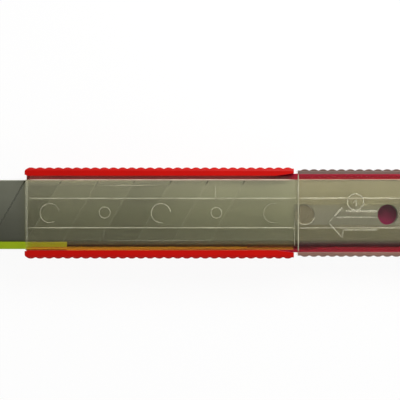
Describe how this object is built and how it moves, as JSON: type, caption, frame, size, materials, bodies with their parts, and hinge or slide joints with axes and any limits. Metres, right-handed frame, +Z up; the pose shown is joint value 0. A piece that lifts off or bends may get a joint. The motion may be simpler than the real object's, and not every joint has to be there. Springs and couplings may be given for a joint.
{
  "type": "snap-off utility knife",
  "caption": "Flat snap-off utility knife: a ridged red tray with a clear cover stores spare blades, a sliding clear sleeve pushes the top blade out, and a lime guard covers its edge.",
  "frame": {"origin": "middle of the knife's outline, on the plane of its flat back", "axes": "+X from the blade's tip to the rear end, +Y from the cutting edge to the spine, +Z up out of the clear cover"},
  "size_m": [0.1402, 0.025, 0.0124],
  "materials": {
    "red_plastic": "moulded satin",
    "clear_plastic": "smoky clear",
    "lime_plastic": "moulded satin",
    "blade_steel": "ground, oiled",
    "spring_steel": "tempered"
  },
  "bodies": {
    "handle": {"tray": "red_plastic", "leaf_spring": "spring_steel", "detent_spring_edge_side": "spring_steel", "detent_spring_spine_side": "spring_steel", "spare_blade_1": "blade_steel", "spare_blade_2": "blade_steel", "spare_blade_3": "blade_steel", "spare_blade_4": "blade_steel", "spare_blade_5": "blade_steel", "spare_blade_6": "blade_steel", "spare_blade_7": "blade_steel", "spare_blade_8": "blade_steel", "spare_blade_9": "blade_steel"},
    "slider": {"push_sleeve": "clear_plastic", "drive_pin": "clear_plastic", "working_blade": "blade_steel"},
    "lid": {"window_cover": "clear_plastic"},
    "guard": {"edge_guard": "lime_plastic"},
    "follower": {"follower_plate": "red_plastic", "spring_rivet": "spring_steel"}
  },
  "joints": [
    {"name": "sleeve_slide", "type": "slide", "parent": "handle", "child": "slider", "axis": [1, 0, 0], "range_m": [0, 0.02285], "deforming": ["detent_spring_edge_side", "detent_spring_spine_side"]},
    {"name": "guard_slide", "type": "slide", "parent": "handle", "child": "guard", "axis": [1, 0, 0], "range_m": [0, 0.0191]},
    {"name": "cover_slide", "type": "slide", "parent": "handle", "child": "lid", "axis": [-1, 0, 0], "range_m": [0, 0.115]},
    {"name": "follower_lift", "type": "slide", "parent": "handle", "child": "follower", "axis": [0, 0, -1], "range_m": [0, 0.0005], "stiffness_N_per_m": 1500, "springref_m": -0.001, "deforming": ["leaf_spring"]}
  ]
}
